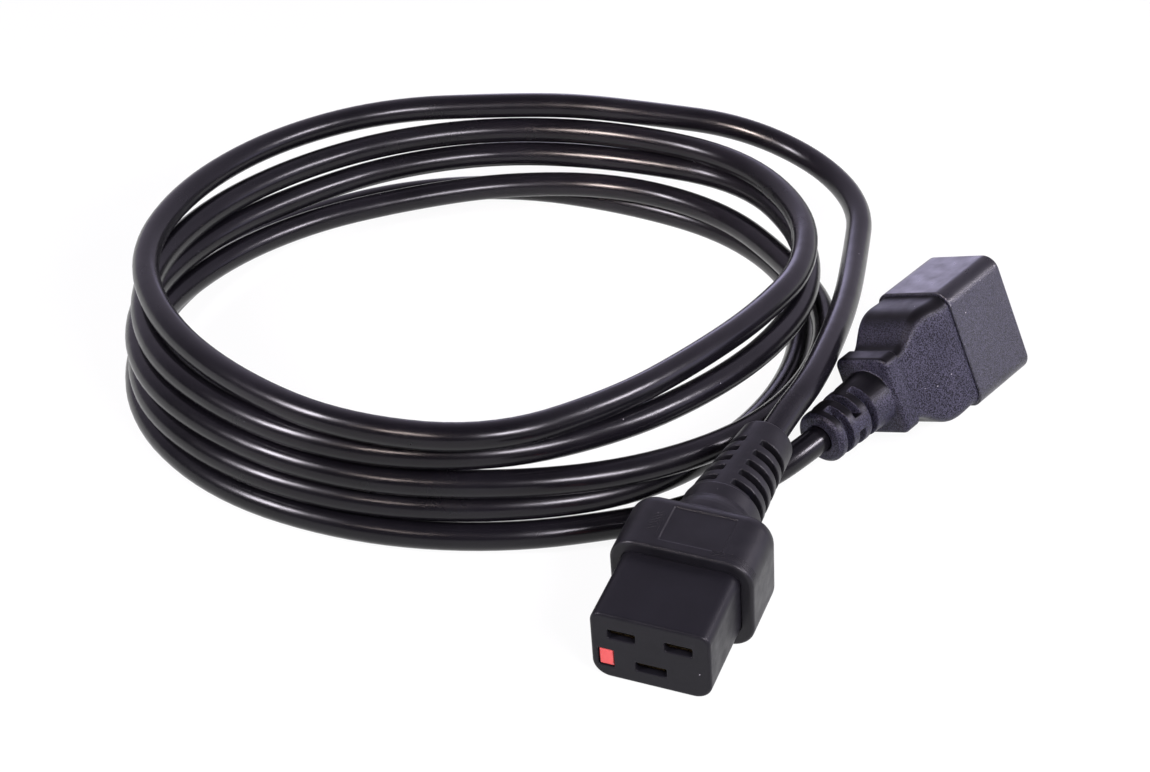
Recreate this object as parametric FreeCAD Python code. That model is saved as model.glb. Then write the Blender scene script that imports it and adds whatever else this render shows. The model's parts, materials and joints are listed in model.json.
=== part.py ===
"""Locking C19 connector on a coiled power lead that ends in a C20 plug.

Row frame, millimetres: the C19 connector's nose faces -Y and +Z is up.  The origin
is under the middle of the C19 connector, on the surface that the lead lies on.
Each coupler is drawn in its own axes first (X across, Y along, Z up, centre line on
Y) and is then laid down as it rests.
"""
import FreeCAD, Part
import math
import os

from FreeCAD import Placement, Rotation, Vector

# ---------------------------------------------------------------- driving sizes (mm)
# C19 nose and its slots, seen from the front
nose_w = 29.6            # nose width
nose_h = 20.4            # nose height
nose_top_r = 3.0         # upper corner radius of the nose
nose_low_r = 4.5         # lower corner radius of the nose
nose_edge = 0.8          # rounding round the mating face
nose_len = 21.5          # nose standing out of the overmould
carrier_len = 37.0       # whole contact carrier, from the mating face
face_wall = 2.0          # thickness of the mating face
pole_pitch = 14.0        # line to neutral
pole_z = 4.2             # line and neutral above the centre line
earth_z = -4.5           # earth below the centre line
pole_slot_w = 6.8        # line and neutral slot width
earth_slot_w = 7.6       # earth slot width
slot_h = 2.8             # height of every slot
chamber_h = 5.0          # contact chamber height
chamber_extra = 1.4      # chamber width beyond its slot
cap_len = 2.0            # cap that closes the chambers at the back

# brass female contacts
contact_gap = 0.2        # clearance of a contact in its chamber
contact_len = 18.0       # sprung box of the contact
contact_leaf = 0.7       # brass thickness
crimp_r = 2.1            # crimp barrel radius
crimp_len = 12.0         # crimp barrel length
pin_gap = 0.15           # clearance between a pin and the leaves
contact_block = 4.0      # solid front of a contact
contact_wall = 2.0       # solid back of a contact

# red lock slide, its spring and its steel jaw
slide_w = 3.6            # slide width, across
slide_h = 5.2            # slide height
slide_side = 3.7         # slide centre from the side of the nose
slide_z = -3.8           # slide centre, up
slide_front = 0.25       # slide end behind the mating face
slide_len = 28.0         # slide bar length
slide_gap = 0.2          # running clearance of the slide
slide_travel = 2.5       # rearward travel that frees the plug
button_front = 24.4      # front of the thumb button
button_len = 7.0         # thumb button length
button_h = 7.6           # thumb button height
button_grip = 0.5        # depth of the grip grooves in the button
grip_w = 0.9             # width of a grip groove
jaw_front = 6.0          # front of the jaw
jaw_len = 4.2            # jaw length along the slide
jaw_t = 2.0              # jaw thickness, up
jaw_bite = 0.45          # teeth of the jaw stand off the earth blade by this
tooth_deep = 0.5         # depth of the jaw's teeth
jaw_root = 1.4           # depth of the jaw in the slide
spring_wire = 0.5        # spring wire diameter
spring_od = 3.0          # spring outside diameter
spring_turns = 4         # working turns
spring_end_gap = 0.15    # clearance at each end of the spring

# C19 overmould
body_w = 36.0            # body width
body_h = 27.0            # body height
body_corner = 7.0        # corner radius of the body
body_len = 19.5          # body length behind the nose
shoulder_r = 4.6         # rounding of the shoulders
front_edge = 0.9         # rounding of the body's front edge
flare_r = 12.0           # flare radius where the neck leaves the body
neck_r = 10.2            # neck radius
neck_flare_len = 5.5     # length of the flare
relief_start = 51.0      # strain relief starts, from the mating face
relief_end = 80.0        # end of the strain relief, from the mating face
relief_end_r = 7.1       # radius of the strain relief's end
relief_step = 0.3        # the strain relief is this much slimmer than the neck
relief_yaw = 4.7         # the strain relief is bent to the right by this many degrees
relief_slots = 5         # pairs of flex slots
relief_slot_first = 53.4 # centre of the first slot
relief_slot_pitch = 4.4  # slot to slot
relief_slot_w = 2.2      # slot width along the relief
relief_slot_floor = 1.0  # wall left between a slot and the cord
relief_spine_w = 4.0     # solid spine between the slots, top and bottom
label_w = 16.0           # bare label recess, across
label_len = 12.0         # bare label recess, along
label_deep = 0.4         # bare label recess depth
label_front = 24.5       # front of the label recess, from the mating face
label_x = 1.5            # label recess centre, across

# C20 plug, measured from the seam between shroud and overmould
shroud_len = 23.0        # shroud ahead of the seam
shroud_wall = 1.9        # shroud wall round the nose of a mating C19
mating_gap = 0.4         # clearance round a mating nose
shroud_r = 4.2           # corner radius of the shroud
socket_deep = 19.0       # depth of the shroud's hollow
plug_base_len = 9.0      # pin carrier behind the seam
pin_t = 2.0              # blade thickness
pole_pin_w = 6.0         # line and neutral blade width
earth_pin_w = 6.8        # earth blade width
pin_inset = 2.0          # blade tips behind the shroud's mouth
pin_tail = 6.0           # blade behind the pin carrier
seam_step = 0.6          # shroud stands proud of the overmould
plug_body_len = 21.2     # overmould from the seam to its cord plate
plate_w = 22.2           # cord plate width
plate_h = 18.0           # cord plate height
plate_len = 5.2          # cord plate thickness
plate_r = 2.6            # cord plate corner radius
plate_proud = 0.8        # plate stands out round the overmould's waist
plug_relief_len = 22.6   # ribbed strain relief behind the cord plate
plug_relief_r = 7.9      # its radius at the plate
plug_relief_end_r = 7.2  # its radius at the cord
plug_slots = 3           # flex slots
plug_slot_first = 8.6    # first slot behind the plate
plug_slot_pitch = 5.0    # slot to slot
plug_slot_w = 2.6        # slot width
plug_web_w = 4.4         # web left in each slot

# cord
cord_d = 7.4             # sheath diameter
core_d = 2.9             # insulated core diameter
core_offset = 1.75       # core centre from the cord's centre
sheath_grip = 16.0       # sheath held inside each strain relief

# how the pieces lie
nose_dip = 9.2           # the C19 nose points down by this many degrees
plug_place = (27.3, 104.3)   # middle of the C20 seam on the floor plan
plug_turn = 70.1         # C20 heading, degrees from +X
plug_rise = 5.9          # C20 mouth points up by this many degrees
plug_lean = 22.7         # C20 leans over by this many degrees

# coil: five turns in all, seen from above, as loosely wound
coil_centre = (-91.6, 89.1)
coil_lie = 21.6          # the coil's own axes are turned by this angle
coil_top = 36.6          # top of the stack of turns
coil_step_x = 2.0        # the connector's end of the cord joins the stack here
coil_reach = 130.0       # farther out than any turn
eighth = 45.0
#              back  back-left left front-left front front-right right back-right
coil_outer = (101.5, 101.5, 105.0, 104.5, 100.0, 97.0, 94.7, 104.5)
coil_inner = (79.5, 79.5, 92.5, 90.0, 87.8, 70.5, 79.0, 86.5)
# at the right the two upper turns lean in over the lower ones: outer side of the
# upper turns, inner side of the lower ones
upper_outer = (110.0, 110.0, 110.0, 106.0, 100.5, 82.5, 88.4, 110.0)
lower_inner = (70.0, 70.0, 80.0, 88.0, 87.0, 81.0, 80.0, 80.0)
# heights along the coil's own Y, for the right half: top of the upper turns, and
# the level between them and the lower ones
upper_top = ((-110, coil_top), (-76, coil_top), (-53, 35.5), (-28, 33.5), (0, 31.8),
             (35, 30.0), (60, 29.0), (110, 29.0))
lower_top = ((-110, 22.0), (-86, 21.8), (-60, 20.4), (-32, 18.6), (0, 16.8), (35, 15.2),
             (110, 15.0))

# cord from the C19, over the coil and round its right side; the first two points
# come from the connector
connector_lead = 10.0    # straight cord outside the strain relief
cord_route = ((5.5, 66.0, 25.7), (3.5, 93.0, 24.8), (0.0, 118.5, 22.6),
              (-5.5, 145.0, 20.8), (-12.0, 174.5, 21.0), (-31.0, 194.0, 23.5),
              (-58.5, 199.5, 28.5), (-86.5, 190.0, 32.0), (-107.0, 185.5, 33.0),
              (-127.0, 178.0, 33.0))
# cord from the coil to the C20; the last two points come from the plug
plug_lead = 7.0
plug_route = ((-24.5, 20.0, 3.7), (-11.0, 32.5, 4.8), (0.0, 40.5, 9.5))


# ---------------------------------------------------------------- shape helpers
def outline(width, height, top_r, low_r, y=0.0):
    """Wire of a rectangle with round corners, standing across the Y axis."""
    half_w, half_h = width / 2, height / 2
    corners = ((half_w, half_h, top_r, 0), (-half_w, half_h, top_r, 90),
               (-half_w, -half_h, low_r, 180), (half_w, -half_h, low_r, 270))
    arcs = []
    for x, z, radius, start in corners:
        cx = x - math.copysign(radius, x)
        cz = z - math.copysign(radius, z)
        points = []
        for turn in (0, 45, 90):
            angle = math.radians(start + turn)
            points.append(Vector(cx + radius * math.cos(angle), y,
                                 cz + radius * math.sin(angle)))
        arcs.append(points)
    edges = []
    for i, points in enumerate(arcs):
        edges.append(Part.Arc(*points).toShape())
        following = arcs[(i + 1) % 4][0]
        edges.append(Part.LineSegment(points[2], following).toShape())
    return Part.Wire(edges)


def slab(width, height, top_r, low_r, y0, y1):
    """Prism of that outline from y0 to y1."""
    return Part.Face(outline(width, height, top_r, low_r, y0)).extrude(Vector(0, y1 - y0, 0))


def block(x0, x1, y0, y1, z0, z1):
    return Part.makeBox(x1 - x0, y1 - y0, z1 - z0, Vector(x0, y0, z0))


def middle_block(x, z, width, height, y0, y1):
    return block(x - width / 2, x + width / 2, y0, y1, z - height / 2, z + height / 2)


def rod(radius, y0, y1, x=0.0, z=0.0):
    return Part.makeCylinder(radius, y1 - y0, Vector(x, y0, z), Vector(0, 1, 0))


def edges_at(shape, y, slack=0.01):
    """Edges that lie in the plane across the Y axis at y."""
    found = []
    for edge in shape.Edges:
        box = edge.BoundBox
        if abs(box.YMin - y) < slack and abs(box.YMax - y) < slack:
            found.append(edge)
    return found


def turned(profile):
    """Solid of revolution about the Y axis; the profile lists (y, radius)."""
    points = [Vector(r, y, 0) for y, r in profile]
    wire = Part.makePolygon([Vector(0, profile[0][0], 0)] + points
                            + [Vector(0, profile[-1][0], 0), Vector(0, profile[0][0], 0)])
    return Part.Face(wire).revolve(Vector(0, 0, 0), Vector(0, 1, 0), 360)


def rounded_route(points):
    """Straight runs joined by tangent arcs, each as large as its two runs allow."""
    points = [Vector(*p) for p in points]
    edges = []
    radii = []
    here = points[0]
    for before, corner, after in zip(points, points[1:], points[2:]):
        into = (corner - before).normalize()
        out = (after - corner).normalize()
        half = into.getAngle(out) / 2
        reach = 0.45 * min((corner - before).Length, (after - corner).Length)
        radius = reach / math.tan(half)
        inward = (out - into).normalize()
        middle = corner + inward * (radius / math.cos(half) - radius)
        start = corner - into * reach
        end = corner + out * reach
        edges.append(Part.LineSegment(here, start).toShape())
        edges.append(Part.Arc(start, middle, end).toShape())
        radii.append(radius)
        here = end
    edges.append(Part.LineSegment(here, points[-1]).toShape())
    return Part.Wire(edges), radii


def tube(points, diameter):
    """Round bar along a rounded route."""
    path, radii = rounded_route(points)
    start = Vector(*points[0])
    heading = Vector(*points[1]) - start
    section = Part.Wire([Part.makeCircle(diameter / 2, start, heading)])
    solid = path.makePipeShell([section], True, False)
    return solid, path.Length, radii


# ---------------------------------------------------------------- C19 connector
# name, centre across, centre up, slot width, direction of its core in the cord
poles = (("line", -pole_pitch / 2, pole_z, pole_slot_w, 150),
         ("neutral", pole_pitch / 2, pole_z, pole_slot_w, 30),
         ("earth", 0.0, earth_z, earth_slot_w, 270))
cap_end = carrier_len + cap_len
body_end = nose_len + body_len
sheath_start = relief_end - sheath_grip
crimp_start = face_wall + contact_len
channel_w = slide_w + 2 * slide_gap
channel_h = slide_h + 2 * slide_gap
slide_x = slide_side - nose_w / 2
jaw_tip_x = -earth_pin_w / 2 - jaw_bite


def core_route(x, z, direction, start, fanned, gathered, end):
    """An insulated core: straight from its crimp, then gathered into the cord."""
    angle = math.radians(direction)
    xe = core_offset * math.cos(angle)
    ze = core_offset * math.sin(angle)
    return ((x, start, z), (x, fanned, z), (xe, gathered, ze), (xe, end, ze))


def yawed(shape):
    """Swings a shape about the neck, as the strain relief is bent."""
    shape.rotate(Vector(0, relief_start, 0), Vector(0, 0, 1), -relief_yaw)
    return shape


def on_relief(x, y, z):
    """Where a point of the straight strain relief lies once it is bent."""
    angle = math.radians(relief_yaw)
    reach = y - relief_start
    return (x * math.cos(angle) + reach * math.sin(angle),
            relief_start + reach * math.cos(angle) - x * math.sin(angle), z)


def connector_cores():
    cores = {}
    for name, x, z, width, direction in poles:
        route = core_route(x, z, direction, crimp_start + crimp_len / 2,
                           cap_end + 2.0, sheath_start - 8.0, sheath_start)
        route = route[:2] + tuple(on_relief(*point) for point in route[2:])
        cores[name] = tube(route, core_d)[0]
    return cores


def make_carrier():
    """Moulded nose: three slots, a contact chamber behind each, and the lock's channel."""
    body = slab(nose_w, nose_h, nose_top_r, nose_low_r, 0, carrier_len)
    body = body.makeFillet(nose_edge, edges_at(body, 0.0))
    for name, x, z, width, direction in poles:
        body = body.cut(middle_block(x, z, width, slot_h, -1, face_wall + 1))
        body = body.cut(middle_block(x, z, width + chamber_extra, chamber_h,
                                     face_wall, carrier_len + 1))
    body = body.cut(middle_block(slide_x, slide_z, channel_w, channel_h, -1, carrier_len + 1))
    # way for the jaw from the channel to the earth chamber
    body = body.cut(jaw_window(slide_x, -earth_slot_w / 2))
    # window for the button's arm, through the side wall
    body = body.cut(block(-nose_w, slide_x, button_front - slide_gap,
                          button_front + button_len + slide_travel + slide_gap,
                          slide_z - channel_h / 2, slide_z + channel_h / 2))
    return body


def make_cap(cores):
    cap = slab(nose_w, nose_h, nose_top_r, nose_low_r, carrier_len, cap_end)
    for core in cores.values():
        cap = cap.cut(core)
    return cap


def make_contact(x, z, slot_width, pin_width, core):
    """Box contact with two sprung leaves, and a crimp barrel on its core."""
    width = slot_width + chamber_extra - 2 * contact_gap
    height = chamber_h - 2 * contact_gap
    start = face_wall + contact_gap
    shell = middle_block(x, z, width, height, start, crimp_start)
    shell = shell.cut(middle_block(x, z, width - 2 * contact_leaf, height - 2 * contact_leaf,
                                   start + contact_block, crimp_start - contact_wall))
    mouth = middle_block(x, z, pin_width + 2 * pin_gap, pin_t + 2 * pin_gap,
                         start - 1, crimp_start - contact_wall)
    shell = shell.cut(mouth)
    barrel = rod(crimp_r, crimp_start - 0.5, crimp_start + crimp_len, x, z)
    return shell.fuse(barrel).cut(core).removeSplitter()


def jaw_window(x0, x1):
    """Space that the jaw sweeps, between two places across."""
    half = jaw_t / 2 + slide_gap
    return block(x0, x1, jaw_front - slide_gap, jaw_front + jaw_len + slide_travel + slide_gap,
                 earth_z - half, earth_z + half)


def make_slide():
    """Red slide: a bar to the mating face and a grooved thumb button at the side."""
    bar = middle_block(slide_x, slide_z, slide_w, slide_h, slide_front, slide_front + slide_len)
    bar = bar.makeFillet(nose_edge / 2, edges_at(bar, slide_front))
    arm = block(-nose_w / 2 - 2 * slide_gap, slide_x - slide_w / 2 + 0.1,
                button_front, slide_front + slide_len,
                slide_z - slide_h / 2, slide_z + slide_h / 2)
    button = block(-body_w / 2, -nose_w / 2 - slide_gap, button_front, button_front + button_len,
                   slide_z - button_h / 2, slide_z + button_h / 2)
    for i in range(3):
        y = button_front + button_len * (i + 1) / 4
        groove = block(-body_w / 2 - 1, -body_w / 2 + button_grip, y - grip_w / 2,
                       y + grip_w / 2, slide_z - button_h, slide_z + button_h)
        button = button.cut(groove)
    return bar.fuse([arm, button]).removeSplitter()


def make_jaw():
    """Steel jaw held in the slide; its teeth bite on the edge of the earth blade."""
    root = slide_x + slide_w / 2 - jaw_root
    back = jaw_front + jaw_len
    points = [(root, jaw_front), (root, back), (jaw_tip_x - 2 * tooth_deep, back)]
    teeth = 4
    for i in range(teeth):
        y = back - jaw_len * (i + 0.5) / teeth
        points.append((jaw_tip_x, y))
        points.append((jaw_tip_x - tooth_deep, back - jaw_len * (i + 1) / teeth))
    low = earth_z - jaw_t / 2
    wire = Part.makePolygon([Vector(x, y, low) for x, y in points + [points[0]]])
    return Part.Face(wire).extrude(Vector(0, 0, jaw_t))


def make_spring():
    """Round-wire compression spring between the slide and the cap."""
    radius = (spring_od - spring_wire) / 2
    y0 = slide_front + slide_len + spring_end_gap + spring_wire / 2
    y1 = carrier_len - spring_end_gap - spring_wire / 2
    helix = Part.makeHelix((y1 - y0) / spring_turns, y1 - y0, radius)
    section = Part.Wire([Part.makeCircle(spring_wire / 2, Vector(radius, 0, 0),
                                         Vector(0, 1, 0))])
    coil = Part.Wire(helix.Edges).makePipeShell([section], True, True)
    coil.rotate(Vector(0, 0, 0), Vector(1, 0, 0), -90)
    coil.translate(Vector(slide_x, y0, slide_z))
    return coil


def relief_slot(y, width, floor_r, spine_angle):
    """One ring of flex slot, left whole at the two spines."""
    ring = rod(2 * neck_r, y - width / 2, y + width / 2)
    ring = ring.cut(rod(floor_r, y - width, y + width))
    spine = block(-relief_spine_w / 2, relief_spine_w / 2, y - width, y + width,
                  -3 * neck_r, 3 * neck_r)
    spine.rotate(Vector(0, y, 0), Vector(0, 1, 0), spine_angle)
    return ring.cut(spine)


def make_connector_overmould(inner):
    """Soft PVC body, neck and slotted strain relief moulded over the carrier and cord."""
    body = slab(body_w, body_h, body_corner, body_corner, nose_len, body_end)
    body = body.makeFillet(shoulder_r, edges_at(body, body_end))
    body = body.makeFillet(front_edge, edges_at(body, nose_len))
    steps = 6
    profile = [(body_end - 3.0, flare_r)]
    for i in range(steps + 1):
        angle = math.radians(90 * i / steps)
        profile.append((body_end + neck_flare_len * math.sin(angle),
                        neck_r + (flare_r - neck_r) * math.cos(angle) ** 2))
    profile.append((relief_start, neck_r))
    root_r = neck_r - relief_step
    relief = yawed(turned(((relief_start - 2.0, root_r), (relief_start, root_r),
                           (relief_end - 0.8, relief_end_r), (relief_end, relief_end_r - 0.8))))
    body = body.fuse([turned(profile), relief]).removeSplitter()
    floor_r = cord_d / 2 + relief_slot_floor
    for i in range(relief_slots):
        y = relief_slot_first + i * relief_slot_pitch
        body = body.cut(yawed(relief_slot(y, relief_slot_w, floor_r, 0)))
    top = body_h / 2
    body = body.cut(block(label_x - label_w / 2, label_x + label_w / 2, label_front,
                          label_front + label_len, top - label_deep, top + 1))
    # room for the thumb button and its travel
    body = body.cut(block(-body_w, slide_x - slide_w / 2, button_front - slide_gap,
                          button_front + button_len + slide_travel + slide_gap,
                          slide_z - button_h / 2 - slide_gap, slide_z + button_h / 2 + slide_gap))
    body = body.cut(slab(nose_w, nose_h, nose_top_r, nose_low_r, nose_len - 1, cap_end))
    body = body.cut(yawed(rod(cord_d / 2, sheath_start, relief_end + 1)))
    for piece in inner:
        body = body.cut(piece)
    return body


def make_connector():
    cores = connector_cores()
    parts = {"contact_carrier": make_carrier(), "carrier_cap": make_cap(cores)}
    pin_widths = {"line": pole_pin_w, "neutral": pole_pin_w, "earth": earth_pin_w}
    for name, x, z, width, direction in poles:
        parts[name + "_contact"] = make_contact(x, z, width, pin_widths[name], cores[name])
        parts[name + "_core"] = cores[name]
    # the jaw reaches the blade through the side of the earth contact
    parts["earth_contact"] = parts["earth_contact"].cut(
        jaw_window(-earth_slot_w, -earth_pin_w / 2))
    parts["lock_jaw"] = make_jaw()
    parts["lock_slide"] = make_slide().cut(parts["lock_jaw"])
    parts["lock_spring"] = make_spring()
    parts["connector_overmould"] = make_connector_overmould(cores.values())
    return parts


# ---------------------------------------------------------------- C20 plug
shroud_w = nose_w + 2 * (mating_gap + shroud_wall)
shroud_h = nose_h + 2 * (mating_gap + shroud_wall)
plate_back = -plug_body_len - plate_len
plug_end = plate_back - plug_relief_len
plug_sheath_start = plug_end + sheath_grip
socket_floor = shroud_len - socket_deep
inner_w = shroud_w - 6.0
inner_h = shroud_h - 6.0


def make_plug_carrier(pins):
    """Shroud with its hollow, and the base that holds the three blades."""
    shell = slab(shroud_w, shroud_h, shroud_r, shroud_r, 0, shroud_len)
    shell = shell.makeFillet(0.7, edges_at(shell, shroud_len))
    base = slab(inner_w, inner_h, nose_top_r, nose_low_r, -plug_base_len, 0.5)
    hollow = slab(nose_w + 2 * mating_gap, nose_h + 2 * mating_gap, nose_top_r, nose_low_r,
                  socket_floor, shroud_len + 1)
    shell = shell.fuse(base).cut(hollow).removeSplitter()
    for pin in pins:
        shell = shell.cut(pin)
    return shell


def make_pin(x, z, width, core):
    """Flat blade with a chamfered tip and a crimp tail on its core."""
    tip = shroud_len - pin_inset
    blade = middle_block(x, z, width, pin_t, -plug_base_len, tip)
    blade = blade.makeChamfer(0.6, edges_at(blade, tip))
    tail = rod(crimp_r, -plug_base_len - pin_tail, -plug_base_len + 0.5, x, z)
    return blade.fuse(tail).cut(core).removeSplitter()


def make_plug_overmould(inner):
    """Body that narrows in a wave to a cord plate and a ribbed strain relief."""
    width = shroud_w - 2 * seam_step
    height = shroud_h - 2 * seam_step
    waist_w = plate_w - 2 * plate_proud
    waist_h = plate_h - 2 * plate_proud
    # place along the body, as a share of its length; the share of the step to the waist still
    # to come, across and in height; corner radius
    sections = ((0.0, 1.0, 1.0, 4.0), (0.29, 1.0, 0.86, 3.8), (0.54, 0.86, 0.58, 3.2),
                (0.76, 0.30, 0.28, 2.6), (1.0, 0.0, 0.0, 2.2))
    wires = []
    for along, wide, high, radius in sections:
        wires.append(outline(waist_w + (width - waist_w) * wide,
                             waist_h + (height - waist_h) * high,
                             radius, radius, -plug_body_len * along))
    body = Part.makeLoft(wires, True, False)
    plate = slab(plate_w, plate_h, plate_r, plate_r, plate_back, -plug_body_len)
    plate = plate.makeFillet(1.2, edges_at(plate, plate_back))
    relief = turned(((plug_end, plug_relief_end_r - 1.0), (plug_end + 1.0, plug_relief_end_r),
                     (plate_back + 1.0, plug_relief_r)))
    body = body.fuse([plate, relief]).removeSplitter()
    floor_r = cord_d / 2 + relief_slot_floor
    for i in range(plug_slots):
        y = plate_back - plug_slot_first - i * plug_slot_pitch
        body = body.cut(relief_slot(y, plug_slot_w, floor_r, 90 * ((i + 1) % 2)))
    body = body.cut(slab(inner_w, inner_h, nose_top_r, nose_low_r, -plug_base_len, 1))
    body = body.cut(rod(cord_d / 2, plug_end - 1, plug_sheath_start))
    for piece in inner:
        body = body.cut(piece)
    return body


def make_plug():
    cores = {}
    pins = {}
    widths = {"line": pole_pin_w, "neutral": pole_pin_w, "earth": earth_pin_w}
    for name, x, z, slot, direction in poles:
        route = core_route(x, z, direction, -plug_base_len - pin_tail / 2,
                           -plug_base_len - pin_tail - 1.0, plug_sheath_start + 5.0,
                           plug_sheath_start)
        cores[name] = tube(route, core_d)[0]
        pins[name] = make_pin(x, z, widths[name], cores[name])
    parts = {"plug_carrier": make_plug_carrier(pins.values())}
    for name in pins:
        parts["plug_" + name + "_pin"] = pins[name]
        parts["plug_" + name + "_core"] = cores[name]
    inner = list(pins.values()) + list(cores.values())
    parts["plug_overmould"] = make_plug_overmould(inner)
    return parts


# ---------------------------------------------------------------- cord and coil
def ring_wire(radii):
    """Smooth closed outline through one radius at each eighth of a turn."""
    points = []
    for i, radius in enumerate(radii):
        angle = math.radians(90 + i * eighth)
        points.append(Vector(radius * math.cos(angle), radius * math.sin(angle), 0))
    curve = Part.BSplineCurve()
    curve.interpolate(points, PeriodicFlag=True)
    return Part.Wire([curve.toShape()])


def disc(radii):
    """Solid inside an outline, far higher than the coil."""
    return Part.Face(ring_wire(radii)).extrude(Vector(0, 0, 2 * coil_top))


def right_half(line, far):
    """Everything in the right half between a line of heights and a far height."""
    corners = [Vector(coil_step_x, y, z) for y, z in line]
    corners += [Vector(coil_step_x, line[-1][0], far), Vector(coil_step_x, line[0][0], far)]
    return Part.Face(Part.makePolygon(corners + [corners[0]])).extrude(Vector(coil_reach, 0, 0))


def make_coil():
    """The coil's outer shape: a stack whose upper turns lean inwards at the right."""
    ring = disc(coil_outer).cut(disc(coil_inner))
    ring = ring.common(Part.makeCylinder(coil_reach, coil_top))
    ring = ring.cut(right_half(upper_top, 2 * coil_top))
    outside = Part.makeCylinder(coil_reach, 2 * coil_top).cut(disc(upper_outer))
    ring = ring.cut(outside.common(right_half(lower_top, 2 * coil_top)))
    ring = ring.cut(disc(lower_inner).common(right_half(lower_top, -1.0)))
    ring.rotate(Vector(0, 0, 0), Vector(0, 0, 1), coil_lie)
    ring.translate(Vector(coil_centre[0], coil_centre[1], 0))
    return ring


# ---------------------------------------------------------------- laying it all down
def place(parts, placement):
    for shape in parts.values():
        shape.Placement = placement.multiply(shape.Placement)


def lay_connector(parts):
    """Dip the nose and stand the connector on the floor, centred on the origin."""
    dip = Placement(Vector(0, 0, 0), Rotation(Vector(1, 0, 0), nose_dip))
    place(parts, dip)
    box = Part.makeCompound(list(parts.values())).optimalBoundingBox(False)
    down = Placement(Vector(-(box.XMin + box.XMax) / 2, -(box.YMin + box.YMax) / 2,
                            -box.ZMin), Rotation())
    place(parts, down)
    return down.multiply(dip)


def lay_plug(parts):
    """Lean the plug on its long edge and stand it on the floor."""
    lean = Placement(Vector(0, 0, 0), Rotation(Vector(0, 1, 0), 90 - plug_lean))
    rise = Placement(Vector(0, 0, 0), Rotation(Vector(1, 0, 0), plug_rise))
    turn = Placement(Vector(0, 0, 0), Rotation(Vector(0, 0, 1), plug_turn - 90))
    laid = turn.multiply(rise).multiply(lean)
    place(parts, laid)
    box = Part.makeCompound(list(parts.values())).optimalBoundingBox(False)
    down = Placement(Vector(plug_place[0], plug_place[1], -box.ZMin), Rotation())
    place(parts, down)
    return down.multiply(laid)


def spot(placement, point):
    return tuple(placement.multVec(Vector(*point)))


def main():
    os.makedirs("parts", exist_ok=True)
    connector = make_connector()
    laid = lay_connector(connector)
    plug = make_plug()
    plug_laid = lay_plug(plug)

    front = [spot(laid, on_relief(0, y, 0))
             for y in (sheath_start, relief_end + connector_lead)]
    rear = [spot(plug_laid, (0, y, 0)) for y in (plug_end - plug_lead, plug_sheath_start)]
    cords = {}
    runs = (("cord_run_connector", front + list(cord_route)),
            ("cord_run_plug", list(plug_route) + rear))
    for name, points in runs:
        solid, length, radii = tube(points, cord_d)
        section = math.pi * cord_d ** 2 / 4
        print(name, "length", round(length, 1), "radii", [round(r, 1) for r in radii])
        print("   volume", round(solid.Volume, 1), "section x length", round(section * length, 1))
        print("   points", [tuple(round(v, 2) for v in p) for p in points])
        cords[name] = solid
    cords["cord_coil"] = make_coil()

    for name, point in (("nose face", (0, 0, 0)), ("cord exit", on_relief(0, relief_end, 0))):
        print(name, [round(v, 3) for v in spot(laid, point)])
    for name, y in (("plug mouth", shroud_len), ("plug cord exit", plug_end)):
        print(name, [round(v, 3) for v in spot(plug_laid, (0, y, 0))])

    everything = {}
    everything.update(connector)
    everything.update(plug)
    everything.update(cords)
    for name, shape in everything.items():
        box = shape.optimalBoundingBox(False)
        print(name, shape.isValid(), len(shape.Solids), "volume", round(shape.Volume, 1),
              "z", round(box.ZMin, 2), round(box.ZMax, 2))
        shape.exportStep(os.path.join("parts", name + ".step"))


main()
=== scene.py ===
"""Dressed model of a locking C19 connector on a coiled black lead that ends in a C20 plug.

Everything is in metres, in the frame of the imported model: the C19's nose faces -Y, +Z is up and
the lead lies on the plane z = 0.  Pieces of a coupler are worked on in that coupler's own axes
(X across, Y along it, Z up) and are then laid down with it.
"""
import json
import math

import bmesh
import bpy
from mathutils import Matrix, Vector


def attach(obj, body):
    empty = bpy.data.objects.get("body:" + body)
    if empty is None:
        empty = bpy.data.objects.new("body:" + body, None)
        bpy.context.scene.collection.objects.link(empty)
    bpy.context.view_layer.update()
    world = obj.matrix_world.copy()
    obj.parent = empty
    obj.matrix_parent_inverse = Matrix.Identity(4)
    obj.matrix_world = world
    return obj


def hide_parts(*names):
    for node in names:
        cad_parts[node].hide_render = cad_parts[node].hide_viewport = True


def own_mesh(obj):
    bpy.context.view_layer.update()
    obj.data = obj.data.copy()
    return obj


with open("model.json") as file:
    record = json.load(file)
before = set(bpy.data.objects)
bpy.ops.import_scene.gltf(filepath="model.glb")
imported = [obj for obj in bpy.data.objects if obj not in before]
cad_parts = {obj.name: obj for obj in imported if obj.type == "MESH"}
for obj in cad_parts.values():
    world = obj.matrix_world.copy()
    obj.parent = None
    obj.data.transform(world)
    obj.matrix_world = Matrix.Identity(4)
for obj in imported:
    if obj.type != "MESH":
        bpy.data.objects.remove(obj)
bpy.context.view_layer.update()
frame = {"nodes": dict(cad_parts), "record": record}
mounts = {mount["name"]: mount for mount in frame["record"]["mounts"]}
MM = 0.001

# ---------------------------------------------------------------- how the couplers lie
plug_turn = math.radians(70.1)   # heading of the C20, from +X
plug_rise = math.radians(5.9)    # how far its mouth points up
plug_lean = math.radians(22.7)   # how far it leans over
shroud_len = 23.0 * MM           # the C20's shroud, from its mouth to its seam
cord_d = 7.4 * MM


def connector_axes():
    """Matrix from the C19's own axes (origin in the mating face) to the model's frame."""
    along = -Vector(mounts["mating_face"]["axis"])
    across = Vector((1, 0, 0))
    up = across.cross(along)
    turn = Matrix((across, along, up)).transposed().to_4x4()
    return Matrix.Translation(mounts["mating_face"]["pos_m"]) @ turn


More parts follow.
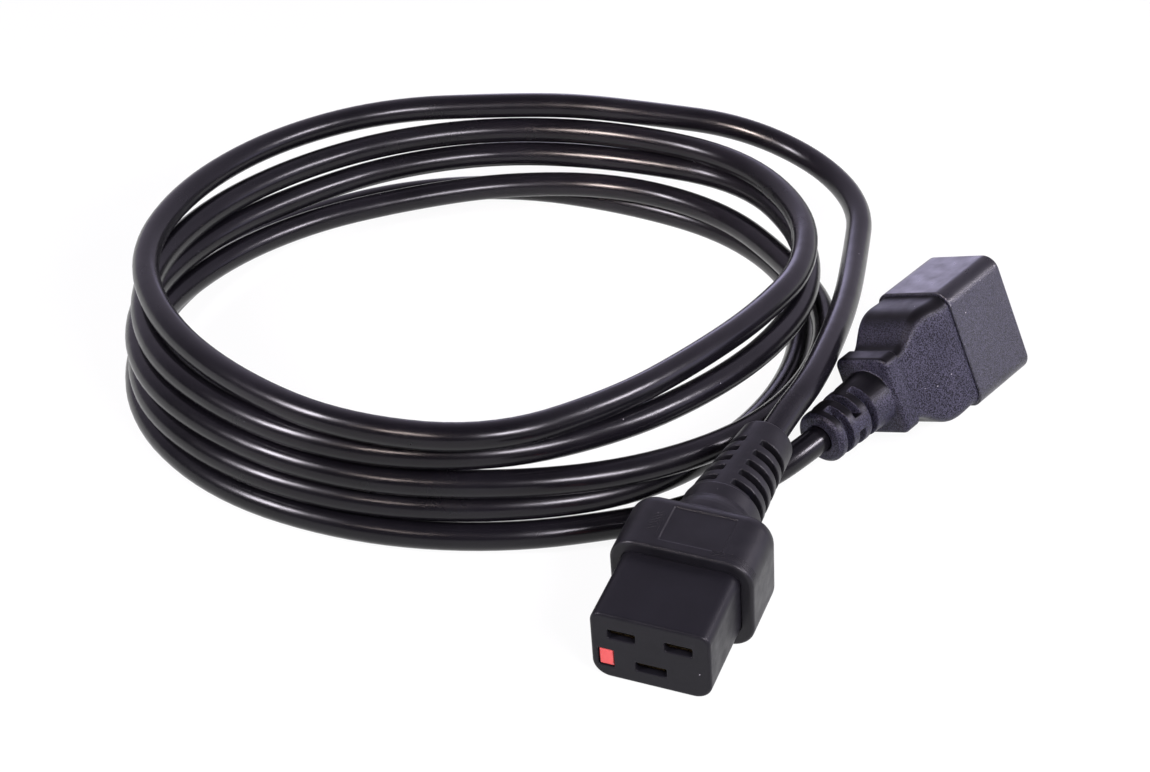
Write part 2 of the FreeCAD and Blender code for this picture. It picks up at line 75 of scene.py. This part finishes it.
def plug_axes():
    """Matrix from the C20's own axes (origin in its shroud's seam) to the model's frame."""
    turn = (Matrix.Rotation(plug_turn - math.pi / 2, 4, "Z") @ Matrix.Rotation(plug_rise, 4, "X")
            @ Matrix.Rotation(math.pi / 2 - plug_lean, 4, "Y"))
    along = turn @ Vector((0, 1, 0))
    seam = Vector(mounts["c20_plug_face"]["pos_m"]) - along * shroud_len
    return Matrix.Translation(seam) @ turn


connector = connector_axes()
plug = plug_axes()

# ---------------------------------------------------------------- the cord's route (mm)
connector_route = ((1.07, 23.9, 20.17), (3.2, 49.48, 24.32), (5.5, 66, 25.7), (3.5, 93, 24.8),
                   (0, 118.5, 22.6), (-5.5, 145, 20.8), (-12, 174.5, 21), (-31, 194, 23.5),
                   (-58.5, 199.5, 28.5), (-86.5, 190, 32), (-107, 185.5, 33), (-127, 178, 33))
plug_route = ((-24.5, 20, 3.7), (-11, 32.5, 4.8), (0, 40.5, 9.5), (8.34, 51.92, 13.45),
              (16.13, 73.43, 15.81))
coil_centre = (-91.6, 89.1)
coil_lie = 21.6              # the coil's own axes are turned by this angle
points_per_turn = 16
# distance of each turn from the coil's centre, and its height above the floor, at even steps
# from the back through the left, the front and the right
turn_radii = (
    (96, 97.6, 97.6, 97.5, 98, 95, 93.8, 96.3,
     95.7, 82.2, 74, 74.5, 83, 92.5, 99, 95.5),
    (93, 91, 90.3, 93.2, 97.6, 98.9, 96.7, 95.5,
     91.6, 83.6, 78.6, 79, 84.5, 93, 101, 93.5),
    (91.5, 88.6, 87, 92.5, 99.3, 101.5, 98.3, 96.4,
     93.2, 93.6, 93.4, 91, 90.6, 87.5, 91, 90),
    (84, 80, 83.5, 89.8, 98.3, 102, 99.5, 96,
     92.5, 91.3, 85.5, 82.3, 83.8, 91.3, 94.5, 93.5),
    (97.5, 98.5, 98, 98.5, 101, 102.3, 100.7, 97.2, 95),
)
turn_heights = (
    (33.1,) * 9 + (32.8, 31.8, 30, 28.2, 26.8, 26, 25.75),
    (25.75,) * 9 + (25.4, 24.4, 22.6, 20.6, 19.2, 18.6, 18.4),
    (18.4,) * 9 + (18.1, 17, 15.2, 13.2, 11.8, 11.2, 11.05),
    (11.05,) * 9 + (10.7, 9.6, 7.8, 5.8, 4.4, 3.8, 3.7),
    (3.7,) * 9,
)


def coil_points():
    """Points of the coil's turns, from just past the back of the first turn."""
    radii = [r for turn in turn_radii for r in turn]
    heights = [z for turn in turn_heights for z in turn]
    step = math.radians(360 / points_per_turn)
    # a spline of this kind runs inside its control points by this share
    outward = 4 / (3 + math.cos(step))
    points = []
    for i in range(1, len(radii)):
        angle = math.radians(90 + coil_lie) + i * step
        points.append((coil_centre[0] + radii[i] * outward * math.cos(angle),
                       coil_centre[1] + radii[i] * outward * math.sin(angle), heights[i]))
    return points


def link(piece):
    """Puts a new object into the scene."""
    bpy.context.scene.collection.objects.link(piece)
    return piece


def make_cord():
    """The whole cord as one spline: off the C19, round the coil and into the C20."""
    points = list(connector_route) + coil_points() + list(plug_route)
    data = bpy.data.curves.new("cord", "CURVE")
    data.dimensions = "3D"
    data.bevel_depth = 1.0       # times each point's radius, which also goes into the curve's box
    data.bevel_resolution = 8
    data.resolution_u = 8
    data.use_fill_caps = True
    spline = data.splines.new("NURBS")
    spline.points.add(len(points) - 1)
    for control, point in zip(spline.points, points):
        control.co = (*(Vector(point) * MM), 1)
        control.radius = cord_d / 2
    spline.order_u = 3
    spline.use_endpoint_u = True
    return link(bpy.data.objects.new("cord", data))


cord = make_cord()
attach(cord, "lead")
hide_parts("cord_run_connector", "cord_coil", "cord_run_plug")


# ---------------------------------------------------------------- materials
MIX_COLOURS, MIX_RESULT = (6, 7), 2    # the sockets of a Mix node that carry colour
dust_grey = (0.30, 0.29, 0.31)
faint_dust_grey = (0.12, 0.12, 0.13)


class Nodes:
    """A node tree under construction; a value is a socket or a constant."""

    def __init__(self, tree):
        self.tree = tree

    def node(self, kind, **settings):
        """A new node with these properties."""
        made = self.tree.nodes.new(kind)
        for key, value in settings.items():
            setattr(made, key, value)
        return made

    def join(self, output, target):
        self.tree.links.new(output, target)

    def fill(self, target, value):
        """Gives an input its value, be it a number, a colour of three numbers or a socket."""
        if isinstance(value, tuple):
            target.default_value = (*value, 1)
        elif isinstance(value, (int, float)):
            target.default_value = value
        else:
            self.join(value, target)

    def maths(self, operation, *values):
        """Result of an operation on one or more values."""
        made = self.node("ShaderNodeMath", operation=operation)
        for target, value in zip(made.inputs, values):
            self.fill(target, value)
        return made.outputs["Value"]

    def spread(self, value, low, high, to_low, to_high):
        """The value, with low and high mapped to two others, and held between those."""
        made = self.node("ShaderNodeMapRange")
        for key, number in (("Value", value), ("From Min", low), ("From Max", high),
                            ("To Min", to_low), ("To Max", to_high)):
            self.fill(made.inputs[key], number)
        return made.outputs["Result"]

    def along(self, vector, axis):
        """One coordinate of a vector."""
        split = self.node("ShaderNodeSeparateXYZ")
        self.join(vector, split.inputs["Vector"])
        return split.outputs[axis]


class Shader(Nodes):
    """A material under construction: a Principled shader in object coordinates.

    Sizes and depths are in metres.
    """

    def __init__(self, name, colour, roughness, specular=0.5):
        self.material = bpy.data.materials.new(name)
        self.material.use_nodes = True
        super().__init__(self.material.node_tree)
        self.shader = self.tree.nodes["Principled BSDF"]
        self.fill(self.shader.inputs["Base Color"], colour)
        self.fill(self.shader.inputs["Roughness"], roughness)
        self.fill(self.shader.inputs["Specular IOR Level"], specular)
        self.place = self.node("ShaderNodeTexCoord").outputs["Object"]
        self.normal = None

    def noise(self, size, detail=3.0):
        """Noise whose blobs are about this many metres across."""
        made = self.node("ShaderNodeTexNoise")
        self.fill(made.inputs["Scale"], 1 / size)
        self.fill(made.inputs["Detail"], detail)
        self.fill(made.inputs["Roughness"], 0.55)
        self.join(self.place, made.inputs["Vector"])
        return made.outputs["Fac"]

    def bump(self, height, depth):
        """Adds a bump of this depth to those already there."""
        made = self.node("ShaderNodeBump")
        self.fill(made.inputs["Strength"], 1.0)
        self.fill(made.inputs["Distance"], depth)
        self.join(height, made.inputs["Height"])
        if self.normal:
            self.join(self.normal, made.inputs["Normal"])
        self.normal = made.outputs["Normal"]
        self.join(self.normal, self.shader.inputs["Normal"])

    def tint(self, share, colours):
        """Colour that runs through these, as share goes from 0 to 1."""
        ramp = self.node("ShaderNodeValToRGB")
        for element, (position, colour) in zip(ramp.color_ramp.elements, colours):
            element.position = position
            element.color = (*colour, 1)
        self.join(share, ramp.inputs["Fac"])
        return ramp.outputs["Color"]

    def mix(self, share, first, second, how="MIX"):
        """Mix of two colours, from the first alone at a share of 0."""
        made = self.node("ShaderNodeMix", data_type="RGBA", blend_type=how)
        self.fill(made.inputs["Factor"], share)
        for index, colour in zip(MIX_COLOURS, (first, second)):
            self.fill(made.inputs[index], colour)
        return made.outputs[MIX_RESULT]

    def colour(self, socket):
        self.join(socket, self.shader.inputs["Base Color"])

    def gloss(self, share, low, high):
        """Roughness that wanders between these as the share does."""
        self.join(self.spread(share, 0.3, 0.7, low, high), self.shader.inputs["Roughness"])

    def upright(self, low, high):
        """1 on faces that stand upright, 0 on those that look up or down."""
        slope = self.along(self.node("ShaderNodeNewGeometry").outputs["Normal"], "Z")
        return self.spread(self.maths("ABSOLUTE", slope), high, low, 0, 1)

    def dust(self, size, share, radius):
        """1 on tiny scattered specks, 0 elsewhere: this share of the cells holds one.

        A cell is about one size across, and the radius is a share of that.
        """
        cells = self.node("ShaderNodeTexVoronoi")
        self.fill(cells.inputs["Scale"], 1 / size)
        self.join(self.place, cells.inputs["Vector"])
        near = self.spread(cells.outputs["Distance"], radius, radius * 0.6, 0, 1)
        chance = self.node("ShaderNodeSeparateColor")
        self.join(cells.outputs["Color"], chance.inputs["Color"])
        chosen = self.spread(chance.outputs["Red"], share, share * 0.9, 0, 1)
        return self.maths("MULTIPLY", near, chosen)


def plastic(name, colour, light, roughness, grain, depth, specular=0.5, specks=0.1,
            painted_glint_share=0.0, polished_shaded_top=None):
    """Moulded plastic: mottled colour, uneven gloss, fine grain and a little dust.

    The grain's high points are painted lighter, and its pits darker, than the rest, by the given
    share: painted glints and painted shade in the grain.
    Given a colour for the tops, only the faces that stand upright get the grain, and faces that
    look up or down take that darker colour: painted shade on the tops, besides their smoother
    finish.
    """
    made = Shader(name, colour, roughness, specular)
    mottled = made.tint(made.noise(9 * MM, 4), ((0.3, colour), (0.72, light)))
    # painted glints: the grain's high points lighter and its pits darker in the colour
    if painted_glint_share:
        painted_glints = made.tint(made.noise(0.8 * grain, 2), (
            (0.40, (1 - painted_glint_share,) * 3), (0.60, (1 + painted_glint_share,) * 3)))
        mottled = made.mix(1.0, mottled, painted_glints, "MULTIPLY")
    height = made.noise(grain, 4)
    # painted shade: faces that look up or down take the darker top colour, and only upright faces
    # keep the grain
    if polished_shaded_top:
        sides_grained_tops_shaded = made.upright(0.55, 0.80)
        mottled = made.mix(sides_grained_tops_shaded, polished_shaded_top, mottled)
        height = made.maths("MULTIPLY", height, sides_grained_tops_shaded)
    speck = made.dust(2.4 * MM, share=specks, radius=0.075)
    made.colour(made.mix(speck, mottled, dust_grey))
    made.gloss(made.noise(4 * MM, 5), roughness - 0.07, roughness + 0.07)
    made.bump(height, depth)
    return made.material


def cord_plastic(name):
    """Glossy extruded PVC with a faintly uneven surface over the twisted cores."""
    black, grey = (0.0022, 0.0020, 0.0028), (0.0045, 0.0041, 0.0056)
    made = Shader(name, black, roughness=0.24, specular=0.27)
    mottled = made.tint(made.noise(22 * MM), ((0.35, black), (0.7, grey)))
    speck = made.dust(3.2 * MM, share=0.05, radius=0.06)
    made.colour(made.mix(speck, mottled, faint_dust_grey))
    made.gloss(made.noise(12 * MM, 4), 0.21, 0.28)
    made.bump(made.noise(16 * MM, 2), 0.18 * MM)
    made.bump(made.noise(0.5 * MM), 0.003 * MM)
    return made.material


def metal(name, colour, roughness, stretch):
    """Worked metal with fine lines along one axis."""
    made = Shader(name, colour, roughness)
    made.fill(made.shader.inputs["Metallic"], 1.0)
    mapping = made.node("ShaderNodeMapping")
    mapping.inputs["Scale"].default_value = stretch
    made.join(made.place, mapping.inputs["Vector"])
    made.place = mapping.outputs["Vector"]
    lines = made.noise(0.35 * MM)
    made.gloss(lines, roughness - 0.08, roughness + 0.1)
    made.bump(lines, 0.01 * MM)
    return made.material


def striped(name, first, second):
    """Insulation with a stripe of a second colour."""
    made = Shader(name, first, 0.4)
    wave = made.node("ShaderNodeTexWave")
    made.fill(wave.inputs["Scale"], 120)
    made.join(made.place, wave.inputs["Vector"])
    made.colour(made.tint(wave.outputs["Fac"], ((0.45, first), (0.55, second))))
    made.bump(made.noise(0.4 * MM), 0.01 * MM)
    return made.material


def core_plastic(name, colour, light):
    """Insulation of one colour."""
    return plastic(name, colour, light, roughness=0.4, grain=0.5 * MM, depth=0.01 * MM)


nose_black = plastic("nose_black", (0.0054, 0.0052, 0.0068), (0.0067, 0.0064, 0.0085),
                     roughness=0.40, grain=0.22 * MM, depth=0.012 * MM,
                     specular=0.15, specks=0.03)
body_black = plastic("body_black", (0.0044, 0.0042, 0.0054), (0.0080, 0.0077, 0.0099),
                     roughness=0.40, grain=0.3 * MM, depth=0.02 * MM,
                     specular=0.22, specks=0.08)
# the shroud and the plug: painted glints in the grain, and darker tops that are painted shade
shroud_black = plastic("shroud_black", (0.0095, 0.0093, 0.0145), (0.014, 0.0137, 0.021),
                       roughness=0.33, grain=0.45 * MM, depth=0.12 * MM,
                       specular=0.48, specks=0.06, painted_glint_share=0.9, polished_shaded_top=(0.006, 0.0058, 0.008))
plug_black = plastic("plug_black", (0.015, 0.0147, 0.023), (0.021, 0.0205, 0.031),
                     roughness=0.40, grain=0.45 * MM, depth=0.11 * MM,
                     specular=0.13, specks=0.06, painted_glint_share=0.9, polished_shaded_top=(0.002, 0.0019, 0.0026))
lock_red = plastic("lock_red", (0.46, 0.040, 0.037), (0.56, 0.072, 0.066),
                   roughness=0.42, grain=0.3 * MM, depth=0.01 * MM, specks=0.12)
lock_steel = metal("lock_steel", (0.55, 0.55, 0.56), 0.28, (1, 6, 1))
# the contacts' metal is darker than its own colour: painted shade of the deep slots they sit in
slot_shaded_brass = metal("contact_brass", (0.24, 0.172, 0.09), 0.48, (1, 6, 1))
nickel = metal("pin_nickel", (0.74, 0.72, 0.68), 0.25, (1, 5, 5))
core_brown = core_plastic("core_brown", (0.13, 0.05, 0.02), (0.17, 0.07, 0.03))
core_blue = core_plastic("core_blue", (0.02, 0.08, 0.45), (0.03, 0.11, 0.52))
core_earth = striped("core_green_yellow", (0.10, 0.42, 0.05), (0.75, 0.68, 0.06))


def dress(piece, material):
    """Gives a piece this one material."""
    piece.data.materials.clear()
    piece.data.materials.append(material)


dress(cord, cord_plastic("cord_black"))
finishes = {"contact_carrier": nose_black, "carrier_cap": nose_black,
            "connector_overmould": body_black, "lock_slide": lock_red,
            "lock_jaw": lock_steel, "lock_spring": lock_steel,
            "plug_carrier": shroud_black, "plug_overmould": plug_black}
for pole, core in (("line", core_brown), ("neutral", core_blue), ("earth", core_earth)):
    finishes[pole + "_contact"] = slot_shaded_brass
    finishes[pole + "_core"] = core
    finishes["plug_" + pole + "_core"] = core
    finishes["plug_" + pole + "_pin"] = nickel
for node, material in finishes.items():
    dress(frame["nodes"][node], material)


# ---------------------------------------------------------------- moulded pieces
seam_reach = 0.002 * MM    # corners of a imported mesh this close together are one
faces_kept = 0.4           # share of a remeshed piece's faces, the fewest where it is flat


def softened(node, name, axes, voxel, material, rounds=1, body="lead"):
    """A node's shape with every edge rounded, remeshed in its coupler's own axes."""
    mesh = frame["nodes"][node].data.copy()
    mesh.transform(axes.inverted())
    work = bmesh.new()
    work.from_mesh(mesh)
    bmesh.ops.remove_doubles(work, verts=work.verts, dist=seam_reach)
    work.to_mesh(mesh)
    work.free()
    piece = link(bpy.data.objects.new(name, mesh))
    remesh = piece.modifiers.new("remesh", "REMESH")
    remesh.mode = "VOXEL"
    remesh.voxel_size = voxel
    remesh.use_smooth_shade = True
    smooth = piece.modifiers.new("smooth", "SMOOTH")
    smooth.factor = 0.5
    smooth.iterations = rounds
    thin = piece.modifiers.new("thin", "DECIMATE")
    thin.ratio = faces_kept
    depsgraph = bpy.context.evaluated_depsgraph_get()
    final = bpy.data.meshes.new_from_object(piece.evaluated_get(depsgraph))
    piece.modifiers.clear()
    piece.data = final
    final.transform(axes)
    dress(piece, material)
    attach(piece, body)
    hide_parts(node)
    return piece


softened("connector_overmould", "connector_body", connector, 0.22 * MM, body_black)
softened("contact_carrier", "connector_nose", connector, 0.22 * MM, nose_black)
plug_body = softened("plug_overmould", "plug_body", plug, 0.22 * MM, plug_black)
plug_shroud = softened("plug_carrier", "plug_shroud", plug, 0.26 * MM, shroud_black)
softened("lock_slide", "slide", connector, 0.14 * MM, lock_red,
         rounds=2, body="lock")

# the spring, as a piece of its own: the slide presses it against its seat
spring = link(bpy.data.objects.new("spring", frame["nodes"]["lock_spring"].data.copy()))
dress(spring, lock_steel)
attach(spring, "lead")
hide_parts("lock_spring")
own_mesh(spring)


# ---------------------------------------------------------------- fine marks of the mould (mm)
body_w, body_h, body_corner = 36.0, 27.0, 7.0    # as the C19's overmould
body_top = body_h / 2
collar_flat = 4.0        # start of a collar line, on the flat
collar_turn = 72         # degrees that it then runs round the corner
collar_steps = 8


def hairlines(name, lines, thick, axes, material):
    """Thin raised lines on a moulded face, one piece; each line lists points in mm."""
    data = bpy.data.curves.new(name, "CURVE")
    data.dimensions = "3D"
    data.bevel_depth = thick / 2 * MM
    data.bevel_resolution = 2
    for line in lines:
        spline = data.splines.new("POLY")
        spline.points.add(len(line) - 1)
        for control, point in zip(spline.points, line):
            control.co = (*(axes @ (Vector(point) * MM)), 1)
    curve = bpy.data.objects.new(name, data)
    mesh = bpy.data.meshes.new_from_object(curve)
    bpy.data.curves.remove(data)
    piece = link(bpy.data.objects.new(name, mesh))
    dress(piece, material)
    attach(piece, "lead")
    return piece


def collar_line(y):
    """Line round the upper right corner of the C19's collar, at this distance along it."""
    middle = (body_w / 2 - body_corner, body_top - body_corner)
    line = [(middle[0] - collar_flat, y, body_top)]
    for step in range(collar_steps + 1):
        angle = math.radians(90 - collar_turn * step / collar_steps)
        line.append((middle[0] + body_corner * math.cos(angle), y,
                     middle[1] + body_corner * math.sin(angle)))
    return line


label_lines = [[(-7.6, 25.2, body_top), (-7.6, 33.5, body_top)]]
for i in range(6):
    label_lines.append([(-10.4, 27.0 + i, body_top), (-8.2, 28.6 + i, body_top)])
hairlines("label_lines", label_lines, 0.16, connector, body_black)
hairlines("collar_lines", [collar_line(22.9 + 0.55 * i) for i in range(4)], 0.14,
          connector, body_black)

# ---------------------------------------------------------------- the pieces on the cord
on_cord = [plug_body, plug_shroud]
for pole in ("line", "neutral", "earth"):
    on_cord += [frame["nodes"]["plug_" + pole + "_pin"], frame["nodes"]["plug_" + pole + "_core"]]


# ---------------------------------------------------------------- floor, light and camera
floor_reach = 3.0                   # from the middle of the floor to each side
floor_drop = 0.3 * MM               # how far it lies under the lead
floor_white = 0.92                  # share of plain white where the floor is seen
coil_middle = (-60, 60, 20)         # places the lamps look at, in mm
coil_back = (-60, 185, 30)
plug_middle = (30, 110, 20)
camera_place = (160.8, -493.4, 376.3)    # in mm, from the camera fitted to the photograph
camera_target = (-66.3, 81.3, 0)
camera_sensor, camera_lens = 36, 81.57   # mm
wall_violet = (0.87, 0.79, 1.0)
violet_white = (0.96, 0.90, 1.0)
warm_white = (1.0, 0.84, 0.80)
blue_white = (0.70, 0.66, 1.0)


def make_floor():
    """White floor: it shows as plain white, with a faint shadow of the lead."""
    work = bmesh.new()
    bmesh.ops.create_grid(work, x_segments=8, y_segments=8, size=floor_reach)
    mesh = bpy.data.meshes.new("floor")
    work.to_mesh(mesh)
    work.free()
    floor = link(bpy.data.objects.new("floor", mesh))
    floor.location.z = -floor_drop
    material = bpy.data.materials.new("floor_white")
    material.use_nodes = True
    material.node_tree.nodes.clear()
    nodes = Nodes(material.node_tree)
    out = nodes.node("ShaderNodeOutputMaterial")
    paper = nodes.node("ShaderNodeBsdfDiffuse")
    nodes.fill(paper.inputs["Color"], (0.86, 0.86, 0.87))
    glow = nodes.node("ShaderNodeEmission")
    nodes.fill(glow.inputs["Strength"], 1.0)
    rays = nodes.node("ShaderNodeLightPath").outputs
    seen = nodes.maths("MAXIMUM", rays["Is Camera Ray"], rays["Is Glossy Ray"])
    seen = nodes.maths("MAXIMUM", seen, rays["Is Transmission Ray"])
    mix = nodes.node("ShaderNodeMixShader")
    nodes.fill(mix.inputs["Fac"], nodes.maths("MULTIPLY", seen, floor_white))
    nodes.join(paper.outputs["BSDF"], mix.inputs[1])
    nodes.join(glow.outputs["Emission"], mix.inputs[2])
    nodes.join(mix.outputs["Shader"], out.inputs["Surface"])
    mesh.materials.append(material)


def make_world(low, high):
    """Dim studio with a pale wall behind the lead, which fades out towards the ceiling."""
    world = bpy.data.worlds.new("world")
    world.use_nodes = True
    nodes = Nodes(world.node_tree)
    background = nodes.tree.nodes["Background"]
    nodes.fill(background.inputs["Color"], wall_violet)
    heading = nodes.node("ShaderNodeTexCoord").outputs["Generated"]
    behind = nodes.spread(nodes.along(heading, "Y"), -0.3, 0.5, 0, 1)
    below = nodes.spread(nodes.along(heading, "Z"), 0.7, 1.0, 1, 0.35)
    wall = nodes.maths("MULTIPLY", behind, below)
    level = nodes.maths("MULTIPLY_ADD", wall, high - low, low)
    nodes.join(level, background.inputs["Strength"])
    bpy.context.scene.world = world


def aim(piece, away):
    """Turns a lamp or camera so that it looks against this direction."""
    piece.rotation_mode = "QUATERNION"
    piece.rotation_quaternion = (-away).to_track_quat("-Z", "Y")


def soft_box(name, target, heading, distance, size, radiance, colour, beam=180):
    """Rectangular lamp seen from a target (mm) in a heading, with this radiance on its axis.

    Beam is the full angle in degrees that a grid on the box lets through.
    """
    data = bpy.data.lights.new(name, "AREA")
    data.shape = "RECTANGLE"
    data.size, data.size_y = size
    data.color = colour
    data.energy = radiance * math.pi * size[0] * size[1]
    if beam < 180:
        half = math.radians(beam / 2)
        data.spread = 2 * half
        data.energy *= 1 - half / math.tan(half)
    made = link(bpy.data.objects.new(name, data))
    away = Vector(heading).normalized()
    made.location = Vector(target) * MM + away * distance
    aim(made, away)
    made.visible_camera = False


def make_camera():
    """The photograph's camera."""
    data = bpy.data.cameras.new("camera")
    data.sensor_width = camera_sensor
    data.lens = camera_lens
    data.clip_start = 0.01
    made = link(bpy.data.objects.new("camera", data))
    made.location = Vector(camera_place) * MM
    aim(made, made.location - Vector(camera_target) * MM)
    bpy.context.scene.camera = made


make_floor()
make_world(0.04, 0.78)
soft_box("front_left", coil_middle, (-0.62, -0.58, 0.54), 0.8, (0.15, 0.21), 72, violet_white)
soft_box("front_right", coil_middle, (0.67, -0.53, 0.52), 0.8, (0.30, 0.15), 58, violet_white)
soft_box("right", coil_middle, (0.85, 0.16, 0.50), 0.8, (0.22, 0.13), 60, violet_white)
soft_box("front", coil_back, (-0.10, -0.86, 0.50), 0.55, (0.18, 0.12), 160, warm_white, 26)
soft_box("behind_plug", plug_middle, (-0.44, 0.88, 0.15), 0.5, (0.22, 0.16), 3.2, blue_white, 40)
soft_box("beside_plug", plug_middle, (0.92, 0.38, 0.12), 0.45, (0.36, 0.18), 2.4, blue_white, 50)
make_camera()
bpy.context.scene.view_settings.view_transform = "Standard"

bpy.context.view_layer.update()
